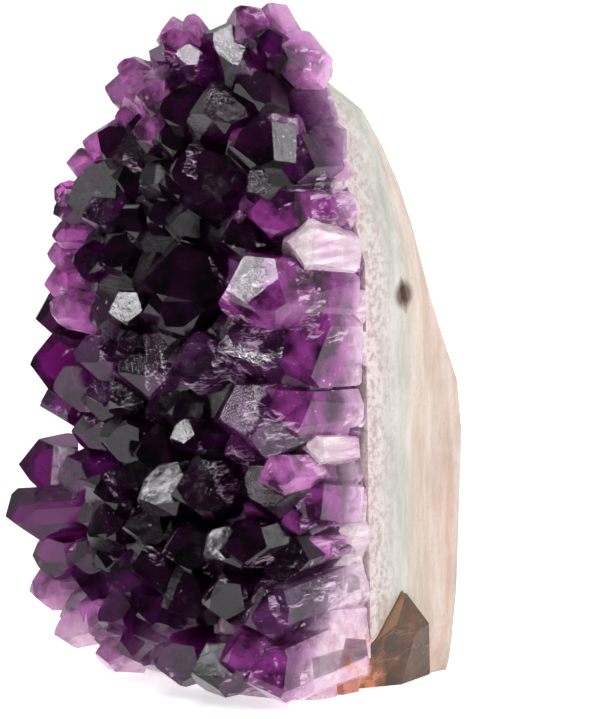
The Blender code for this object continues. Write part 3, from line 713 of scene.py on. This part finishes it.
class Nodes:
    """A material, with a short way to add and link its shader nodes."""

    def __init__(self, name):
        self.material = bpy.data.materials.new(name)
        self.material.use_nodes = True
        self.tree = self.material.node_tree
        self.shader = self.tree.nodes["Principled BSDF"]
        self.output = self.tree.nodes["Material Output"]

    def add(self, kind, **values):
        """Adds a node and sets the node's own values."""
        node = self.tree.nodes.new(kind)
        for name, value in values.items():
            setattr(node, name, value)
        return node

    def link(self, value, socket):
        """Links an output to a socket, or sets the socket where the value is a plain one."""
        if isinstance(value, bpy.types.NodeSocket):
            self.tree.links.new(value, socket)
        else:
            socket.default_value = value

    def set(self, name, value):
        self.link(value, self.shader.inputs[name])

    def math(self, operation, *values):
        node = self.add("ShaderNodeMath", operation=operation)
        for value, socket in zip(values, node.inputs):
            self.link(value, socket)
        return node.outputs[0]

    def position(self):
        return self.add("ShaderNodeTexCoord").outputs["Object"]

    def split(self, vector):
        """The X, Y and Z of a vector."""
        node = self.add("ShaderNodeSeparateXYZ")
        self.link(vector, node.inputs[0])
        return node.outputs

    def distance(self, place, point):
        node = self.add("ShaderNodeVectorMath", operation="DISTANCE")
        self.link(place, node.inputs[0])
        self.link(point, node.inputs[1])
        return node.outputs["Value"]

    def stretched(self, place, scale):
        node = self.add("ShaderNodeMapping")
        self.link(place, node.inputs["Vector"])
        node.inputs["Scale"].default_value = scale
        return node.outputs["Vector"]

    def noise(self, place, scale, detail=4.0, roughness=0.55, distortion=0.0):
        """Noise whose scale is its number of lumps per metre."""
        node = self.add("ShaderNodeTexNoise")
        self.link(place, node.inputs["Vector"])
        node.inputs["Scale"].default_value = scale
        node.inputs["Detail"].default_value = detail
        node.inputs["Roughness"].default_value = roughness
        node.inputs["Distortion"].default_value = distortion
        return node.outputs["Fac"]

    def swing(self, noise_share, reach):
        """Turns a noise into offsets to both sides of nothing."""
        return self.math("MULTIPLY", self.math("SUBTRACT", noise_share, 0.5), reach)

    def ramp(self, value, stops):
        """Colours between positions on a scale."""
        node = self.add("ShaderNodeValToRGB")
        self.link(value, node.inputs["Fac"])
        elements = node.color_ramp.elements
        while len(elements) < len(stops):
            elements.new(0.5)
        for element, (position, colour) in zip(elements, stops):
            element.position = position
            element.color = (*colour, 1)
        return node.outputs["Color"]

    def fade(self, value, *stops):
        """A share that changes between positions on a scale."""
        return self.ramp(value, [(position, (share,) * 3) for position, share in stops])

    def mix(self, factor, first, second):
        """A blend of two colours: the first where the factor is 0, the second where it is 1."""
        node = self.add("ShaderNodeMix", data_type="RGBA")
        self.link(factor, node.inputs["Factor"])
        for socket, value in ((node.inputs[6], first), (node.inputs[7], second)):
            self.link((*value, 1) if isinstance(value, tuple) else value, socket)
        return node.outputs[2]

    def bump(self, height, distance, normal=None):
        node = self.add("ShaderNodeBump")
        node.inputs["Distance"].default_value = distance
        node.inputs["Strength"].default_value = 1.0
        self.link(height, node.inputs["Height"])
        if normal:
            self.link(normal, node.inputs["Normal"])
        return node.outputs["Normal"]


def rusty(nodes, place, colour, reach):
    """Stains a colour with rust near the basalt wedge, in blots."""
    blots = nodes.swing(nodes.noise(place, 260, 5, 0.65), 2.4 * reach)
    near = nodes.math("ADD", nodes.distance(place, RUST_AT + SHIFT), blots)
    share = nodes.fade(nodes.math("DIVIDE", near, reach), (0.3, 0.8), (0.5, 0.25), (0.9, 0.0))
    return nodes.mix(share, colour, RUST)


def healed_cracks(nodes, place, streaks, tone):
    """How much cracks veil each place: patches with a sharp edge, filled with fine streaks."""
    edge = 0.63 - 0.07 * tone.veils
    patches = nodes.fade(nodes.noise(place, 120, 3, 0.5, 0.9), (edge, 0.0), (edge + 0.02, 1.0))
    return nodes.math("MULTIPLY", patches, nodes.fade(streaks, (0.46, 0.0), (0.68, 0.9)))


def specks(nodes, place, clouds, tone):
    """How much white specks show at each place: they lie in dusty clouds. They are dust, and painted sparkle
    where they stand in for tiny glints.
    """
    grains = nodes.fade(nodes.noise(place, 1700, 2), (0.68, 0.0), (0.73, 0.9))
    edge = 0.62 - 0.1 * tone.dust_and_sparkle
    return nodes.math("MULTIPLY", grains, nodes.fade(clouds, (edge, 0.0), (edge + 0.1, 1.0)))


def milkiness(nodes, place, clouds, near_foot):
    """How milky each place is: crystals are so next to the wall, more at the foot and less high up."""
    _, y, z = nodes.split(place)
    outwards = nodes.math("MULTIPLY_ADD", y, -1 / MILKY_REACH, SHIFT.y / MILKY_REACH - 0.25)
    outwards = nodes.math("ADD", outwards, nodes.math("MULTIPLY", clouds, 0.5))
    outwards = nodes.math("SUBTRACT", outwards, nodes.math("MULTIPLY", near_foot, 1.3))
    high = nodes.fade(nodes.math("DIVIDE", z, CLEAR_ABOVE), (0.85, 0.0), (1.0, 1.0))
    outwards = nodes.math("ADD", outwards, nodes.math("MULTIPLY", high, 0.25))
    milk = nodes.fade(outwards, (0.1, 0.82), (0.4, 0.4), (0.85, 0.0))
    curds = nodes.fade(nodes.noise(place, 330, 5, 0.65, 0.5), (0.35, 0.65), (0.6, 1.15))
    return nodes.math("MULTIPLY", milk, curds)


def crystal_faces(nodes, place):
    """The relief of the faces: fine growth lines across them, shallow steps and a little grain."""
    surface = nodes.add("ShaderNodeUVMap", uv_map="surface").outputs["UV"]
    growth_lines = nodes.noise(nodes.stretched(surface, (1.2, 26, 1)), 1, 5, 0.7)
    normal = nodes.bump(growth_lines, GROWTH_LINE)
    normal = nodes.bump(nodes.noise(place, 130, 2), FACE_STEP, normal)
    return nodes.bump(nodes.noise(place, 700, 3), FACE_GRAIN, normal)


def amethyst(name, tone):
    """Amethyst: clear quartz that takes green light away, with healed cracks, specks of dust and painted
    sparkle, and milky ends.
    """
    nodes = Nodes(name)
    place = nodes.position()
    streaks = nodes.noise(nodes.stretched(place, (1, 0.4, 1.9)), 560, 5, 0.75, 0.6)
    clouds = nodes.noise(place, 190, 4)
    cracks = healed_cracks(nodes, place, streaks, tone)
    # White: healed cracks, and specks of dust and painted sparkle
    white = nodes.math("MAXIMUM", cracks, specks(nodes, place, clouds, tone))
    smoke = nodes.fade(clouds, (0.4, 0.15 * tone.cloudy), (0.62, 1.7 * tone.cloudy))
    height = nodes.split(place)["Z"]
    near_foot = nodes.fade(nodes.math("DIVIDE", height, FOOT_REACH), (0.25, 1.0), (1.0, 0.0))
    milk = milkiness(nodes, place, clouds, near_foot)
    body = nodes.math("ADD", nodes.math("ADD", smoke, white), milk)
    body = nodes.math("MINIMUM", body, MOST_BODY)
    threads = nodes.fade(streaks, (0.5, 0.0), (0.66, 0.7))
    milky = nodes.mix(threads, nodes.mix(near_foot, MILK_COLOUR, FOOT_MILK), MILK_STREAK)
    milky = rusty(nodes, place, milky, 17 * MM)
    colour = nodes.mix(milk, tone.body, milky)
    nodes.set("Base Color", nodes.mix(white, colour, VEIL_COLOUR))
    nodes.set("Transmission Weight", nodes.math("SUBTRACT", 1.0, body))
    nodes.set("IOR", QUARTZ_IOR)
    frosting = nodes.noise(place, 260, 6)
    nodes.set("Roughness", nodes.fade(frosting, (0.4, 0.01), (0.62, 0.05), (0.75, 0.22)))
    nodes.set("Normal", crystal_faces(nodes, place))
    absorption = nodes.add("ShaderNodeVolumeAbsorption")
    absorption.inputs["Color"].default_value = VIOLET_PASSED
    absorption.inputs["Density"].default_value = tone.density
    nodes.tree.links.new(absorption.outputs["Volume"], nodes.output.inputs["Volume"])
    return nodes.material


def pale_quartz():
    """Milky quartz near the roots: half clear, faintly lilac, fibrous along the crystals."""
    nodes = Nodes("pale_quartz")
    place = nodes.position()
    fibres = nodes.noise(nodes.stretched(place, (1, 0.12, 1)), 700, 5, 0.65)
    patches = nodes.noise(place, 120, 5)
    colour = nodes.ramp(patches, ((0.35, (0.74, 0.42, 0.66)), (0.62, (0.9, 0.74, 0.8))))
    colour = nodes.mix(nodes.fade(fibres, (0.5, 0.0), (0.7, 0.8)), colour, (0.96, 0.9, 0.92))
    nodes.set("Base Color", rusty(nodes, place, colour, 17 * MM))
    nodes.set("Transmission Weight", nodes.fade(fibres, (0.4, 0.35), (0.62, 0.05)))
    nodes.set("IOR", QUARTZ_IOR)
    nodes.set("Roughness", nodes.fade(nodes.noise(place, 400, 4), (0.4, 0.12), (0.65, 0.4)))
    nodes.set("Normal", nodes.bump(fibres, 0.2 * MM))
    return nodes.material


def root_quartz():
    """The roots that the crystals grew from: milky pinkish white towards the wall, violet further out."""
    nodes = Nodes("root_quartz")
    place = nodes.position()
    _, y, _ = nodes.split(place)
    outwards = nodes.math("MULTIPLY_ADD", y, -1 / ROOT_FADE_Y, ROOT_FADE_START)
    outwards = nodes.math("ADD", outwards, nodes.math("MULTIPLY", nodes.noise(place, 150, 5), 0.5))
    fibres = nodes.noise(nodes.stretched(place, (1, 0.2, 1)), 800, 5, 0.7)
    colour = nodes.ramp(outwards, (
        (0.2, (0.82, 0.66, 0.7)),
        (0.5, (0.6, 0.36, 0.58)),
        (0.8, (0.2, 0.05, 0.2)),
    ))
    colour = nodes.mix(nodes.fade(fibres, (0.5, 0.0), (0.72, 0.7)), colour, (0.92, 0.84, 0.86))
    nodes.set("Base Color", rusty(nodes, place, colour, 14 * MM))
    nodes.set("Transmission Weight", 0.2)
    nodes.set("IOR", QUARTZ_IOR)
    nodes.set("Roughness", nodes.fade(nodes.noise(place, 500, 4), (0.4, 0.25), (0.65, 0.55)))
    nodes.set("Normal", nodes.bump(fibres, 0.3 * MM))
    return nodes.material


def wall_rock():
    """The wall: a speckled pale band at the crystals, then grey-green, then beige, streaked upwards."""
    nodes = Nodes("wall_rock")
    place = nodes.position()
    _, y, _ = nodes.split(place)
    streaks = nodes.noise(nodes.stretched(place, (1, 1, 0.16)), 420, 6, 0.65)
    drift = nodes.noise(nodes.stretched(place, (1, 1, 0.4)), 90, 4)
    depth = nodes.math("MULTIPLY_ADD", y, 1 / WALL_DEPTH, -SHIFT.y / WALL_DEPTH)
    depth = nodes.math("ADD", depth, nodes.swing(drift, 0.16))
    colour = nodes.ramp(depth, WALL_BANDS)
    colour = nodes.mix(nodes.fade(streaks, (0.35, 0.0), (0.7, 0.6)), colour, (0.86, 0.8, 0.76))
    # Dark grains close to the crystals
    grains = nodes.fade(nodes.noise(place, 800, 3, 0.7), (0.46, 0.0), (0.6, 0.75))
    at_crystals = nodes.fade(depth, (0.08, 1.0), (0.3, 0.0))
    colour = nodes.mix(nodes.math("MULTIPLY", grains, at_crystals), colour, (0.42, 0.3, 0.3))
    # A broken brown line along the edge of the speckled band
    line = nodes.fade(depth, (0.1, 0.0), (0.14, 0.8), (0.18, 0.0))
    line = nodes.math("MULTIPLY", line, nodes.fade(drift, (0.5, 0.0), (0.6, 1.0)))
    colour = nodes.mix(line, colour, (0.42, 0.24, 0.17))
    # Weathered patches on the outside
    rind = nodes.fade(depth, (0.5, 0.0), (0.85, 1.0))
    weathered = nodes.fade(nodes.noise(place, 70, 6, 0.65), (0.42, 0.0), (0.62, 0.75))
    colour = nodes.mix(nodes.math("MULTIPLY", rind, weathered), colour, (0.34, 0.3, 0.22))
    # The pit: its own brown, and painted shade for its hollow, which the shape doesn't have
    shaded_pit = nodes.math("DIVIDE", nodes.distance(place, PIT_AT + SHIFT), PIT_REACH)
    shaded_pit = nodes.math("ADD", shaded_pit, nodes.swing(drift, 0.8))
    colour = nodes.mix(nodes.fade(shaded_pit, (0.5, 0.9), (0.95, 0.0)), colour, PIT_BROWN_AND_SHADE)
    dots = nodes.fade(nodes.noise(place, 1500, 4), (0.6, 0.0), (0.72, 0.55))
    colour = nodes.mix(dots, colour, (0.42, 0.35, 0.31))
    nodes.set("Base Color", rusty(nodes, place, colour, 9 * MM))
    nodes.set("Roughness", 0.75)
    relief = nodes.bump(streaks, 0.3 * MM)
    nodes.set("Normal", nodes.bump(nodes.noise(place, 1200, 6, 0.7), 0.15 * MM, relief))
    return nodes.material


def brown_basalt():
    """Chipped basalt: dark olive, lighter tan on faces that point up as painted light from above, red-brown
    towards the crystals, thin pale veins.
    """
    nodes = Nodes("brown_basalt")
    place = nodes.position()
    _, facing_y, facing_z = nodes.split(nodes.add("ShaderNodeTexCoord").outputs["Normal"])
    patches = nodes.noise(place, 190, 6, 0.65)
    ragged = nodes.swing(patches, 0.9)
    towards_crystals = nodes.math("ADD", nodes.math("MULTIPLY", facing_y, -1), ragged)
    up = nodes.math("ADD", facing_z, ragged)
    colour = nodes.ramp(patches, (
        (0.3, (0.04, 0.032, 0.02)),
        (0.5, (0.09, 0.05, 0.03)),
        (0.7, (0.17, 0.07, 0.045)),
    ))
    colour = nodes.mix(nodes.fade(towards_crystals, (0.5, 0.0), (0.75, 1.0)), colour, (0.24, 0.065, 0.042))
    # Tan on the faces that point up: painted light from above
    colour = nodes.mix(nodes.fade(up, (0.45, 0.0), (0.7, 1.0)), colour, (0.42, 0.24, 0.14))
    veins = nodes.fade(nodes.noise(place, 110, 3, 0.5, 1.2), (0.485, 0.0), (0.5, 0.55), (0.515, 0.0))
    colour = nodes.mix(veins, colour, (0.36, 0.2, 0.14))
    nodes.set("Base Color", rusty(nodes, place, colour, 7 * MM))
    nodes.set("Roughness", 0.55)
    nodes.set("Normal", nodes.bump(nodes.noise(place, 600, 6, 0.7), 0.5 * MM))
    return nodes.material


def floor_white():
    nodes = Nodes("floor_white")
    nodes.set("Base Color", (0.93, 0.925, 0.93, 1))
    nodes.set("Roughness", 0.9)
    nodes.set("Emission Color", (1, 1, 1, 1))
    nodes.set("Emission Strength", FLOOR_GLOW)
    return nodes.material


# Stage


def add_camera():
    data = bpy.data.cameras.new("camera")
    data.sensor_fit = "AUTO"
    data.sensor_width = 36
    data.lens = 36 * CAMERA_AWAY / FRAME_HEIGHT
    data.clip_start = 0.01
    camera = bpy.data.objects.new("camera", data)
    bpy.context.scene.collection.objects.link(camera)
    camera.location = SHIFT + seen(AIM_ACROSS, AIM_UP) + TOWARDS * CAMERA_AWAY
    camera.rotation_euler = TOWARDS.to_track_quat("Z", "Y").to_euler()
    bpy.context.scene.camera = camera


def add_floor():
    shape = bmesh.new()
    bmesh.ops.create_grid(shape, x_segments=1, y_segments=1, size=FLOOR_REACH)
    floor = add_object(shape, "floor", floor_white())


def add_lamp(name, across, up, towards, size, watts):
    """A square soft lamp, placed as seen from the side on show and aimed at the object's middle."""
    data = bpy.data.lights.new(name, "AREA")
    data.size = size
    data.energy = watts
    lamp = bpy.data.objects.new(name, data)
    bpy.context.scene.collection.objects.link(lamp)
    middle = SHIFT + seen(0, LAMPS_AIM_UP)
    lamp.location = middle + ACROSS * across + UPWARDS * up + TOWARDS * towards
    lamp.rotation_euler = (lamp.location - middle).to_track_quat("Z", "Y").to_euler()


def add_world():
    """White to the camera; to everything else bright above and behind, dimmer in front."""
    world = bpy.data.worlds.new("studio")
    bpy.context.scene.world = world
    world.use_nodes = True
    tree = world.node_tree
    tree.nodes.clear()
    output = tree.nodes.new("ShaderNodeOutputWorld")
    mixed = tree.nodes.new("ShaderNodeMixShader")
    seen_white = tree.nodes.new("ShaderNodeBackground")
    seen_white.inputs["Color"].default_value = (1, 1, 1, 1)
    seen_white.inputs["Strength"].default_value = 1.0
    studio = tree.nodes.new("ShaderNodeBackground")
    place = tree.nodes.new("ShaderNodeTexCoord")
    behind = tree.nodes.new("ShaderNodeVectorMath")
    behind.operation = "DOT_PRODUCT"
    behind.inputs[1].default_value = BRIGHT_WAY
    spread = tree.nodes.new("ShaderNodeMapRange")
    spread.interpolation_type = "SMOOTHSTEP"
    spread.inputs["From Min"].default_value = BRIGHT_FROM
    spread.inputs["From Max"].default_value = BRIGHT_TO
    spread.inputs["To Min"].default_value = FRONT_LIGHT
    spread.inputs["To Max"].default_value = BACK_LIGHT
    path = tree.nodes.new("ShaderNodeLightPath")
    tree.links.new(place.outputs["Generated"], behind.inputs[0])
    tree.links.new(behind.outputs["Value"], spread.inputs["Value"])
    tree.links.new(spread.outputs["Result"], studio.inputs["Strength"])
    tree.links.new(path.outputs["Is Camera Ray"], mixed.inputs["Fac"])
    tree.links.new(studio.outputs["Background"], mixed.inputs[1])
    tree.links.new(seen_white.outputs["Background"], mixed.inputs[2])
    tree.links.new(mixed.outputs["Shader"], output.inputs["Surface"])


def add_crystals():
    """The crust: one piece for each look, and the milky roots next to the wall."""
    room = crust_room()
    parts = {tone: [] for tone in (*TONES, "milky")}
    for tone, edges in MASS_EDGES.items():
        parts[tone].append(mass(f"{tone}_mass", edges))
    for number, crystal in enumerate(CRYSTALS):
        parts[tone_of(crystal)].append(crystal_object(crystal, number))
        tip = tip_of(crystal)
        if tip.x > PHANTOM_X and tone_of(crystal) != "milky" and tip.y < -PHANTOM_Y:
            parts["milky"].append(milky_root(crystal, number))
    fillers = filler_places()
    for tone in FILLER_TONES:
        same = [filler for filler in fillers if filler_tone(filler[0]) == tone]
        parts[tone] += small_crystals(same, f"{tone}_filler")
    rim = small_crystals(rim_places(), "rim")
    roots = placed(root_layer(PALE_ROOTS_Y, PALE_ROOTS_BACK_Y, PALE_ROOTS_WIDE), "roots")
    for tone, look in TONES.items():
        grown_together(f"{tone}_crystals", parts[tone], room, amethyst(f"{tone}_quartz", look))
    grown_together("milky_crystals", parts["milky"], room, pale_quartz())
    grown_together("milky_roots", [roots] + rim, room, root_quartz())
    bpy.data.objects.remove(room, do_unlink=True)


def main():
    bpy.context.scene.view_settings.view_transform = "Standard"
    add_camera()
    add_floor()
    add_world()
    for name, lamp in LAMPS.items():
        add_lamp(name, *lamp)
    add_crystals()
    for node, material in (("rock_wall", wall_rock()), ("basalt_inclusion", brown_basalt())):
        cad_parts[node].data.materials.clear()
        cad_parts[node].data.materials.append(material)


main()
